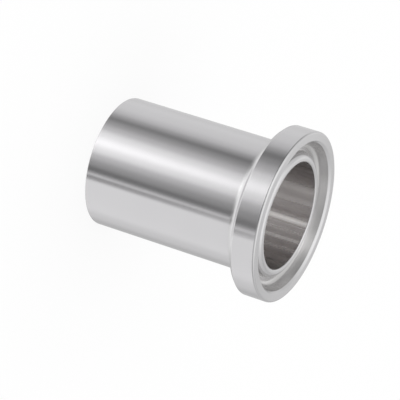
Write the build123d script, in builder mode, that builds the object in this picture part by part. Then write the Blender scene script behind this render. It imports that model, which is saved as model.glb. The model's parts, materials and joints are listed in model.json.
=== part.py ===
"""Pipe collar: the weld-on collar of a screwed pipe union, turned in one piece from stainless steel.

A plain tube carries a thick round collar at one end. The collar's front face has an outer rim, a
recess for a seal ring and a raised lip round the bore. Sizes are in millimetres. The axis is Z,
with Z zero at the weld end and the sealing face at the top.
"""

from build123d import *
import os
from math import radians, tan

# Tube
tube_diameter = 19.05
tube_wall = 1.65
tube_length = 24.7

# Collar, which stands out from the tube by its step
collar_step = 2.975
collar_thickness = 4.0
collar_front_break = 0.2
collar_back_chamfer = 0.5
root_fillet = 1.7

# Recess for the seal ring: the rim's width is all that is left outside its mouth
rim_width = 1.3
recess_depth = 2.0
recess_mouth_chamfer = 0.3
recess_wall_angle = 17.0
recess_floor_fillet = 0.75

# Lip round the bore, which stands a little behind the rim
lip_wall = 1.225
lip_setback = 0.8
lip_crown_fillet = 0.8
bore_mouth_break = 0.2

# Radii and heights that follow from the sizes above
tube_radius = tube_diameter / 2
bore_radius = tube_radius - tube_wall
collar_radius = tube_radius + collar_step
mouth_radius = collar_radius - rim_width
wall_radius = mouth_radius - recess_mouth_chamfer
wall_depth = recess_depth - recess_mouth_chamfer
floor_radius = wall_radius - wall_depth * tan(radians(recess_wall_angle))
lip_radius = bore_radius + lip_wall
face_height = tube_length + collar_thickness
wall_height = face_height - recess_mouth_chamfer
floor_height = face_height - recess_depth
lip_height = face_height - lip_setback

# Fillets keep to their own walls: the recess's flat floor and the top of the lip
floor_width = floor_radius - lip_radius
floor_fillet = min(recess_floor_fillet, floor_width)
crown_fillet = min(lip_crown_fillet, lip_wall - bore_mouth_break)

# Corners of the half section, each as radius and height
tube_root = (tube_radius, tube_length)
collar_back = (collar_radius, tube_length)
collar_front = (collar_radius, face_height)
recess_mouth = (mouth_radius, face_height)
recess_wall_top = (wall_radius, wall_height)
recess_foot = (floor_radius, floor_height)
lip_root = (lip_radius, floor_height)
lip_edge = (lip_radius, lip_height)
bore_mouth = (bore_radius, lip_height)


def corner(place):
    """The vertex of the half section at a radius and height."""
    return half_section.vertices().sort_by_distance(place)[0]


with BuildPart() as pipe_collar:
    with BuildSketch(Plane.XZ) as half_section:
        with BuildLine():
            Polyline(
                (bore_radius, 0),
                (tube_radius, 0),
                tube_root,
                collar_back,
                collar_front,
                recess_mouth,
                recess_wall_top,
                recess_foot,
                lip_root,
                lip_edge,
                bore_mouth,
                close=True,
            )
        make_face()
        fillet(corner(tube_root), root_fillet)
        fillet(corner(recess_foot), floor_fillet)
        fillet(corner(lip_edge), crown_fillet)
        chamfer(corner(collar_back), collar_back_chamfer)
        chamfer(corner(collar_front), collar_front_break)
        chamfer(corner(bore_mouth), bore_mouth_break)
    revolve(axis=Axis.Z)

pipe_collar.part.label = "pipe_collar"
os.makedirs("parts", exist_ok=True)
export_step(pipe_collar.part, "parts/pipe_collar.step")
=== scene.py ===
"""The looks of a turned stainless steel pipe collar.

A finer turned body with seven finishes takes the plain solid's place. It stands on a pale floor in
a white studio, and the camera has the photograph's view. Objects are in metres in the part's own
frame: the axis is Z, with Z zero at the weld end. Sizes are named in millimetres and angles in
degrees, unless a comment says otherwise.
"""

import json
from math import cos, pi, radians, sin, tan

import bpy
from mathutils import Matrix, Vector


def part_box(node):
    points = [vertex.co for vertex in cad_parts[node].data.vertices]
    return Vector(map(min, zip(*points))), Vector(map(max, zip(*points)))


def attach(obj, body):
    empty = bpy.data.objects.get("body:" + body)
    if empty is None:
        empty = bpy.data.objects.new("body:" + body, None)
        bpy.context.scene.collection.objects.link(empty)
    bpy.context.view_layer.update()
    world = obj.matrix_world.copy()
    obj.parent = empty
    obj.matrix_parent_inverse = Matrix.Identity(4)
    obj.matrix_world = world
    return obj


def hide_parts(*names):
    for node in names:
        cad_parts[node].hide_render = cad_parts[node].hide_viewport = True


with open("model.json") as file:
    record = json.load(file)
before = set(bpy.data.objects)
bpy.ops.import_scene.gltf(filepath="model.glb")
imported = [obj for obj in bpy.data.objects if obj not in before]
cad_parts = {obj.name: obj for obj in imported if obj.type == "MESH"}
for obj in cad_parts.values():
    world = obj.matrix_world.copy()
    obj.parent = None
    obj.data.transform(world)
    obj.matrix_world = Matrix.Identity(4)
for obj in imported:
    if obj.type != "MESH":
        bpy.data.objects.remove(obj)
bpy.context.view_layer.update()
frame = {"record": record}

# Metres in a millimetre
MM = 0.001


def millimetres(metres):
    """A length of the frame, to a thousandth of a millimetre."""
    return round(metres / MM, 3)


# Sizes that the solid and its mounts give
solid_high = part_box("pipe_collar")[1]
mounts = {mount["name"]: mount for mount in frame["record"]["mounts"]}
COLLAR_RADIUS = millimetres(solid_high.x)
FACE_HEIGHT = millimetres(solid_high.z)
BORE_RADIUS = mounts["flow_bore"]["dims"]["r_mm"]
TUBE_RADIUS = mounts["tube_outside"]["dims"]["r_mm"]
TUBE_LENGTH = millimetres(mounts["nut_shoulder"]["pos_m"][2])
FLOOR_HEIGHT = millimetres(mounts["seal_recess"]["pos_m"][2])

# The other sizes of the collar, the recess and the lip
BACK_CHAMFER = 0.5
RIM_WIDTH = 1.3
MOUTH_CHAMFER = 0.3
WALL_ANGLE = 17.0
LIP_WALL = 1.225
LIP_SETBACK = 0.8

# Radii of the rounds at the edges and in the corners
WELD_ROUND = 0.12
ROOT_ROUND = 1.7
BACK_ROUND = 0.12
FRONT_ROUND = 0.3
MOUTH_ROUND = 0.04
FLOOR_ROUND = 0.75
LIP_ROOT_ROUND = 0.3
LIP_ROUND = 0.8
BORE_ROUND = 0.2

# How finely the body is turned and its rounds are divided
SEGMENTS = 384
ROUND_STEP = 9
FEWEST_ROUND_STEPS = 2


def half_section():
    """Corners of the turned profile as radius, height, round and the zone that follows.

    They run anticlockwise from the bore's edge at the weld end.
    """
    mouth_radius = COLLAR_RADIUS - RIM_WIDTH
    wall_radius = mouth_radius - MOUTH_CHAMFER
    wall_height = FACE_HEIGHT - MOUTH_CHAMFER
    floor_radius = wall_radius - (wall_height - FLOOR_HEIGHT) * tan(radians(WALL_ANGLE))
    lip_radius = BORE_RADIUS + LIP_WALL
    lip_height = FACE_HEIGHT - LIP_SETBACK
    return [
        (BORE_RADIUS, 0, WELD_ROUND, "weld"),
        (TUBE_RADIUS, 0, WELD_ROUND, "outside"),
        (TUBE_RADIUS, TUBE_LENGTH, ROOT_ROUND, "face"),
        (COLLAR_RADIUS - BACK_CHAMFER, TUBE_LENGTH, BACK_ROUND, "face"),
        (COLLAR_RADIUS, TUBE_LENGTH + BACK_CHAMFER, BACK_ROUND, "outside"),
        (COLLAR_RADIUS, FACE_HEIGHT, FRONT_ROUND, "face"),
        (mouth_radius, FACE_HEIGHT, MOUTH_ROUND, "face"),
        (wall_radius, wall_height, MOUTH_ROUND, "recess"),
        (floor_radius, FLOOR_HEIGHT, FLOOR_ROUND, "floor"),
        (lip_radius, FLOOR_HEIGHT, LIP_ROOT_ROUND, "recess"),
        (lip_radius, lip_height, LIP_ROUND, "face"),
        (BORE_RADIUS, lip_height, BORE_ROUND, "bore"),
    ]


def rounded(corners):
    """Points of the closed outline with its corners rounded.

    Each point holds its place, its outward normal and the zone that follows. The rounds in the
    recess have the finish of its wall, and all the others are broken edges.
    """
    points = []
    for number, (radius, height, size, zone) in enumerate(corners):
        before = Vector(corners[number - 1][:2])
        here = Vector((radius, height))
        after = Vector(corners[(number + 1) % len(corners)][:2])
        entry = (here - before).normalized()
        leave = (after - here).normalized()
        turn = -entry.angle_signed(leave)
        side = 1 if turn > 0 else -1
        inward = Vector((-entry.y, entry.x)) * side
        start = here - entry * size * tan(abs(turn) / 2)
        centre = start + inward * size
        steps = max(FEWEST_ROUND_STEPS, round(abs(turn) / radians(ROUND_STEP)))
        round_zone = "recess" if zone in ("recess", "floor") else "edge"
        for step in range(steps + 1):
            spoke = Matrix.Rotation(turn * step / steps, 2) @ -inward
            place = centre + spoke * size
            normal = spoke * side
            points.append((*place, *normal, zone if step == steps else round_zone))
    return points


def turned_body(name, profile, finishes):
    """A closed turned mesh with exact normals, in which each zone has its own finish."""
    rows = len(profile)
    vertices, normals, faces, zones = [], [], [], []
    for segment in range(SEGMENTS):
        angle = 2 * pi * segment / SEGMENTS
        along_x, along_y = cos(angle), sin(angle)
        here = segment * rows
        there = (segment + 1) % SEGMENTS * rows
        for row, (radius, height, outward, upward, zone) in enumerate(profile):
            after = (row + 1) % rows
            vertices.append((radius * along_x * MM, radius * along_y * MM, height * MM))
            normals.append((outward * along_x, outward * along_y, upward))
            faces.append((here + row, there + row, there + after, here + after))
            zones.append(zone)
    mesh = bpy.data.meshes.new(name)
    mesh.from_pydata(vertices, [], faces)
    order = list(finishes)
    for zone in order:
        mesh.materials.append(finishes[zone])
    for polygon, zone in zip(mesh.polygons, zones):
        polygon.material_index = order.index(zone)
        polygon.use_smooth = True
    mesh.normals_split_custom_set_from_vertices(normals)
    mesh.update()
    body = bpy.data.objects.new(name, mesh)
    bpy.context.scene.collection.objects.link(body)
    return body


class Tree:
    """The nodes of a material or of the world, with short ways to add and join them."""

    def __init__(self, owner):
        owner.use_nodes = True
        self.nodes = owner.node_tree.nodes
        self.links = owner.node_tree.links
        self.nodes.clear()

    def add(self, kind, inputs=None, **settings):
        """A new node. Each input is linked if it is given a socket, and set if it is not."""
        node = self.nodes.new(kind)
        for key, value in settings.items():
            setattr(node, key, value)
        for key, value in (inputs or {}).items():
            if isinstance(value, bpy.types.NodeSocket):
                self.links.new(value, node.inputs[key])
            else:
                node.inputs[key].default_value = value
        return node

    def math(self, operation, first, second=0.0, third=0.0):
        inputs = {0: first, 1: second, 2: third}
        return self.add("ShaderNodeMath", inputs, operation=operation).outputs[0]

    def plus(self, first, second):
        return self.math("ADD", first, second)

    def minus(self, first, second):
        return self.math("SUBTRACT", first, second)

    def times(self, first, second):
        return self.math("MULTIPLY", first, second)

    def blend(self, first, second, share):
        """The first value where the share is zero and the second where it is one."""
        return self.plus(self.times(first, self.minus(1.0, share)), self.times(second, share))

    def rise(self, angle, low, high, level=1.0):
        """A soft step from zero to the level, as the angle goes from low to high degrees."""
        inputs = {"Value": angle, "From Min": radians(low), "From Max": radians(high), "To Max": level}
        step = self.add("ShaderNodeMapRange", inputs, interpolation_type="SMOOTHSTEP")
        return step.outputs["Result"]

    def noise(self, inputs, **settings):
        return self.add("ShaderNodeTexNoise", inputs, **settings).outputs["Fac"]

    def swing(self, noise, size):
        """The noise moved to lie about zero, over the size."""
        return self.times(self.minus(noise, 0.5), size)

    def colour(self, share, first, second):
        """A blend of two colours, which the node takes at its inputs 6 and 7."""
        mix = self.add("ShaderNodeMix", {0: share, 6: first, 7: second}, data_type="RGBA")
        return mix.outputs[2]

    def shader(self, share, first, second):
        """A blend of two shaders."""
        return self.add("ShaderNodeMixShader", {0: share, 1: first, 2: second}).outputs[0]


def opaque(colour, brightness=1.0):
    """A colour made brighter or darker, with the full cover that a node wants beside it."""
    return [min(1.0, part * brightness) for part in colour] + [1.0]


# Turned marks: noise cells to a radian round the axis and to a metre across, and depth in metres
MARK_CELLS_ROUND = 0.6
MARK_CELLS_ACROSS = 9000
MARK_DEPTH = 0.00002

# Turns the stretched highlight to lie across the marks, as a share of a full turn
ACROSS_THE_MARKS = 0.25

# Clouding of the steel: noise cells to a metre, and how far it changes roughness and tint
CLOUD_CELLS = 160
ROUGHNESS_CHANGE = 0.03
TINT_CHANGE = 0.03

# Painted streaks of reflection along the bore, which also roughen it: azimuth from the +Y side towards
# -X, half width and strength
BORE_PAINTED_STREAKS = [
    (-3.5, 3.9, 0.85),
    (-8, 16, 0.18),
    (-15.5, 4, 0.12),
    (-24.5, 4, 0.4),
    (-36.5, 4, 0.25),
    (-47, 9, -0.2),
    (4.5, 3.5, -0.25),
    (18, 4, 0.16),
    (27, 24, 0.28),
    (32, 8, 0.25),
]

# Fine marks between the painted streaks, which vary them at random: noise cells to a radian round the
# axis, and strength
FINE_CELLS = 22
FINE_STRENGTH = 0.18

# What a painted streak of full strength adds to the roughness, and its colour, a painted reflection
STREAK_ROUGHNESS = 0.28
STREAK_PAINT_COLOUR = (1.0, 0.98, 0.965)


def turned_marks(tree, x, y, z):
    """Fine marks that run round the axis, on the walls as on the flat faces."""
    radius = tree.math("SQRT", tree.plus(tree.times(x, x), tree.times(y, y)))
    angle = tree.math("ARCTAN2", y, x)
    cells = {
        0: tree.times(angle, MARK_CELLS_ROUND),
        1: tree.times(radius, MARK_CELLS_ACROSS),
        2: tree.times(z, MARK_CELLS_ACROSS),
    }
    place = tree.add("ShaderNodeCombineXYZ", cells).outputs[0]
    return tree.noise({"Vector": place, "Scale": 1.0, "Detail": 3.0, "Roughness": 0.6})


def painted_streaks(tree, x, y, streaks):
    """The strength of the painted streaks of reflection along the bore, each a soft band at its own
    azimuth.
    """
    azimuth = tree.math("ARCTAN2", tree.times(x, -1.0), y)
    total = 0.0
    for degrees, half_width, strength in streaks:
        away = tree.math("ABSOLUTE", tree.minus(azimuth, radians(degrees)))
        total = tree.plus(total, tree.rise(away, half_width, 0, strength))
    cells = tree.times(azimuth, FINE_CELLS)
    fine = tree.noise({"W": cells, "Scale": 1.0, "Detail": 2.0}, noise_dimensions="1D")
    return tree.plus(total, tree.swing(fine, FINE_STRENGTH))


def steel(name, colour, roughness, anisotropy, marks, streaks=()):
    """Turned stainless steel: fine marks run round the axis, so light spreads across them. Given
    streaks, it paints reflections into the colour.
    """
    material = bpy.data.materials.new(name)
    tree = Tree(material)
    place = tree.add("ShaderNodeTexCoord").outputs["Object"]
    x, y, z = tree.add("ShaderNodeSeparateXYZ", {0: place}).outputs
    grooves = turned_marks(tree, x, y, z)
    cloud = tree.noise({"Vector": place, "Scale": CLOUD_CELLS, "Detail": 3.0, "Roughness": 0.55})
    change = tree.plus(tree.swing(grooves, ROUGHNESS_CHANGE), tree.swing(cloud, ROUGHNESS_CHANGE))
    rough = tree.plus(change, roughness)
    tint = tree.colour(cloud, opaque(colour, 1 - TINT_CHANGE), opaque(colour, 1 + TINT_CHANGE))
    # The bore's streaks are painted reflections: they blend the colour towards near white and add
    # roughness
    if streaks:
        streak_share = painted_streaks(tree, x, y, streaks)
        rough = tree.plus(rough, tree.times(streak_share, STREAK_ROUGHNESS))
        tint = tree.colour(streak_share, tint, opaque(STREAK_PAINT_COLOUR))
    bump = tree.add("ShaderNodeBump", {"Height": grooves, "Strength": marks, "Distance": MARK_DEPTH})
    tangent = tree.add("ShaderNodeTangent", direction_type="RADIAL", axis="Z")
    surface = tree.add(
        "ShaderNodeBsdfPrincipled",
        {
            "Base Color": tint,
            "Metallic": 1.0,
            "Roughness": rough,
            "Anisotropic": anisotropy,
            "Anisotropic Rotation": ACROSS_THE_MARKS,
            "Normal": bump.outputs[0],
            "Tangent": tangent.outputs[0],
        },
    )
    tree.add("ShaderNodeOutputMaterial", {"Surface": surface.outputs[0]})
    return material


# Finish of each zone: name, colour, roughness, anisotropy, strength of the marks and painted streaks
FINISHES = {
    "outside": ("steel_turned_outside", (0.607, 0.60, 0.612), 0.195, 0.83, 0.10),
    "face": ("steel_turned_face", (0.605, 0.60, 0.607), 0.25, 0.78, 0.10),
    "edge": ("steel_broken_edge", (0.605, 0.60, 0.607), 0.26, 0.77, 0.05),
    "recess": ("steel_turned_recess", (0.607, 0.60, 0.597), 0.215, 0.95, 0.10),
    # The recess floor's darker colour is painted shade
    "floor": ("steel_recess_floor", (0.53, 0.52, 0.525), 0.35, 0.80, 0.15),
    # The bore's lighter colour is painted light, which brightens the inside of the bore
    "bore": ("steel_drawn_bore", (0.717, 0.70, 0.696), 0.215, 0.80, 0.05, BORE_PAINTED_STREAKS),
    "weld": ("steel_cut_end", (0.57, 0.57, 0.57), 0.32, 0.50, 0.20),
}


def collar():
    """The collar in its finishes, in place of the plain solid. The bore's finish holds painted
    reflections and painted light, and the recess floor's painted shade.
    """
    finishes = {zone: steel(*finish) for zone, finish in FINISHES.items()}
    body = turned_body("collar_body", rounded(half_section()), finishes)
    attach(body, "root")
    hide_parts("pipe_collar")


# White of the room and the floor, as the camera sees it at a strength of 1
WHITE = (1.0, 1.0, 1.0, 1.0)

# The floor: half its side in metres, its colour, and the share of white that the camera sees
FLOOR_HALF = 1.5
FLOOR_COLOUR = (0.95, 0.95, 0.95)
FLOOR_WHITE = 0.85


def floor():
    """A plain pale floor that keeps the part's shadow and is clear from below."""
    corners = [(-1, -1), (1, -1), (1, 1), (-1, 1)]
    vertices = [(x * FLOOR_HALF, y * FLOOR_HALF, 0) for x, y in corners]
    mesh = bpy.data.meshes.new("floor")
    mesh.from_pydata(vertices, [], [(0, 1, 2, 3)])
    plane = bpy.data.objects.new("floor", mesh)
    bpy.context.scene.collection.objects.link(plane)
    material = bpy.data.materials.new("floor_paper")
    tree = Tree(material)
    paper = tree.add("ShaderNodeBsdfDiffuse", {"Color": opaque(FLOOR_COLOUR)}).outputs[0]
    white = tree.add("ShaderNodeEmission", {"Color": WHITE, "Strength": 1.0}).outputs[0]
    clear = tree.add("ShaderNodeBsdfTransparent").outputs[0]
    seen = tree.add("ShaderNodeLightPath").outputs["Is Camera Ray"]
    under = tree.add("ShaderNodeNewGeometry").outputs["Backfacing"]
    top = tree.shader(tree.times(seen, FLOOR_WHITE), paper, white)
    tree.add("ShaderNodeOutputMaterial", {"Surface": tree.shader(under, top, clear)})
    mesh.materials.append(material)
    plane.visible_glossy = False


# Studio below the part's horizon: azimuth from the camera's side towards +X, and level
LOW_STUDIO = [
    (-180, 0.71),
    (-150, 0.80),
    (-125, 0.96),
    (-103, 0.96),
    (-90, 0.82),
    (-80, 0.54),
    (-72, 0.32),
    (-63, 0.59),
    (-50, 0.96),
    (-38, 1.52),
    (-22, 2.00),
    (-8, 1.49),
    (4, 0.87),
    (16, 0.52),
    (28.5, 0.13),
    (32.5, 0.38),
    (36.5, 1.12),
    (40, 0.05),
    (45, 0.12),
    (48.5, 1.07),
    (60, 1.07),
    (104, 1.08),
    (125, 0.88),
    (152, 0.60),
    (166, 0.62),
    (180, 0.71),
]

# Where that lowest ring ends: azimuth, and degrees below the horizon
LOW_ENDS = [
    (-180, 19.0),
    (-90, 19.0),
    (-65, 23.6),
    (-45, 22.8),
    (-20, 21.4),
    (25, 22.0),
    (45, 14.0),
    (140, 14.0),
    (180, 19.0),
]

# Studio round the part's horizon: azimuth and level
MIDDLE_STUDIO = [
    (-180, 0.67),
    (-140, 0.82),
    (-105, 0.35),
    (-75, 0.10),
    (-50, 0.04),
    (-20, 0.04),
    (10, 0.08),
    (35, 0.55),
    (55, 0.55),
    (85, 0.35),
    (120, 0.62),
    (150, 0.69),
    (180, 0.67),
]

# Studio above the part's horizon: azimuth and level
UPPER_STUDIO = [
    (-180, 0.85),
    (-168, 1.10),
    (-140, 0.82),
    (-105, 0.87),
    (-70, 1.00),
    (-35, 1.66),
    (0, 0.92),
    (35, 0.59),
    (70, 0.83),
    (105, 0.91),
    (140, 0.78),
    (168, 0.60),
    (180, 0.85),
]

# Levels overhead and underneath
OVERHEAD_LEVEL = 1.3
UNDERNEATH_LEVEL = 1.37

# How far above the lowest ring's end the middle ring takes over
LOW_TO_MIDDLE = 6.5

# Elevations over which the other parts of the studio take over
MIDDLE_TO_UPPER = (6, 24)
UPPER_TO_OVERHEAD = (36, 66)
LOW_TO_UNDERNEATH = (-46, -56)

# Bright patch over the lowest ring's dark strip: azimuth, level, and how each edge fades in
PATCH_AZIMUTH = 43
PATCH_LEVEL = 1.1
PATCH_SIDES = (6, 2)
PATCH_FOOT = (-25, -20)
PATCH_TOP = (-6, -12)


def ring(tree, azimuth, stops):
    """The value round the axis. A ramp's colours end at one, so they hold shares of the largest."""
    largest = max(value for degrees, value in stops)
    place = tree.math("MULTIPLY_ADD", azimuth, 1 / (2 * pi), 0.5)
    ramp = tree.add("ShaderNodeValToRGB", {"Fac": place})
    ramp.color_ramp.interpolation = "EASE"
    elements = ramp.color_ramp.elements
    while len(elements) < len(stops):
        elements.new(0.5)
    for element, (degrees, value) in zip(elements, stops):
        element.position = degrees / 360 + 0.5
        element.color = opaque([value / largest] * 3)
    return tree.times(ramp.outputs["Color"], largest)


def patch(tree, azimuth, elevation):
    """The bright patch's level, which is zero outside its edges."""
    aside = tree.math("ABSOLUTE", tree.minus(azimuth, radians(PATCH_AZIMUTH)))
    level = tree.rise(aside, *PATCH_SIDES, PATCH_LEVEL)
    level = tree.times(level, tree.rise(elevation, *PATCH_FOOT))
    return tree.times(level, tree.rise(elevation, *PATCH_TOP))


def room_level(tree, azimuth, elevation):
    """The room's level: three rings one above the other, the patch, and the room's two ends."""
    low_end = tree.math("RADIANS", ring(tree, azimuth, LOW_ENDS))
    over_low = tree.rise(tree.plus(elevation, low_end), 0, LOW_TO_MIDDLE)
    low = ring(tree, azimuth, LOW_STUDIO)
    middle = ring(tree, azimuth, MIDDLE_STUDIO)
    upper = ring(tree, azimuth, UPPER_STUDIO)
    level = tree.plus(tree.blend(low, middle, over_low), patch(tree, azimuth, elevation))
    level = tree.blend(level, upper, tree.rise(elevation, *MIDDLE_TO_UPPER))
    level = tree.blend(level, OVERHEAD_LEVEL, tree.rise(elevation, *UPPER_TO_OVERHEAD))
    return tree.blend(level, UNDERNEATH_LEVEL, tree.rise(elevation, *LOW_TO_UNDERNEATH))


def studio():
    """A white room whose level changes round the axis, and which the camera sees as plain white."""
    world = bpy.data.worlds.new("studio")
    bpy.context.scene.world = world
    tree = Tree(world)
    way = tree.add("ShaderNodeTexCoord").outputs["Generated"]
    x, y, z = tree.add("ShaderNodeSeparateXYZ", {0: way}).outputs
    azimuth = tree.math("ARCTAN2", x, tree.times(y, -1.0))
    elevation = tree.math("ARCSINE", z)
    level = room_level(tree, azimuth, elevation)
    room = tree.add("ShaderNodeBackground", {"Color": WHITE, "Strength": level}).outputs[0]
    plain = tree.add("ShaderNodeBackground", {"Color": WHITE, "Strength": 1.0}).outputs[0]
    seen = tree.add("ShaderNodeLightPath").outputs["Is Camera Ray"]
    tree.add("ShaderNodeOutputWorld", {"Surface": tree.shader(seen, room, plain)})


# The photograph's viewpoint in metres, and which way the picture's right and its top point
CAMERA_PLACE = (0.0, -0.29935, 0.14306)
CAMERA_RIGHT = (-0.30455, 0.37854, 0.87405)
CAMERA_UP = (-0.95248, -0.1159, -0.28169)
FOCAL_LENGTH = 205.84
SENSOR_WIDTH = 36


def camera():
    """The photograph's view, in which the upright axis lies across the picture."""
    right = Vector(CAMERA_RIGHT).normalized()
    up = Vector(CAMERA_UP).normalized()
    turned = Matrix((right, up, right.cross(up))).transposed().to_4x4()
    data = bpy.data.cameras.new("camera")
    data.sensor_width = SENSOR_WIDTH
    data.lens = FOCAL_LENGTH
    viewer = bpy.data.objects.new("camera", data)
    viewer.matrix_world = Matrix.Translation(CAMERA_PLACE) @ turned
    bpy.context.scene.collection.objects.link(viewer)
    bpy.context.scene.camera = viewer


# Bounces of light, enough for the recess and the bore
BOUNCES = 12

collar()
floor()
studio()
camera()
bpy.context.scene.view_settings.view_transform = "Standard"
bpy.context.scene.cycles.max_bounces = BOUNCES
bpy.context.scene.cycles.glossy_bounces = BOUNCES
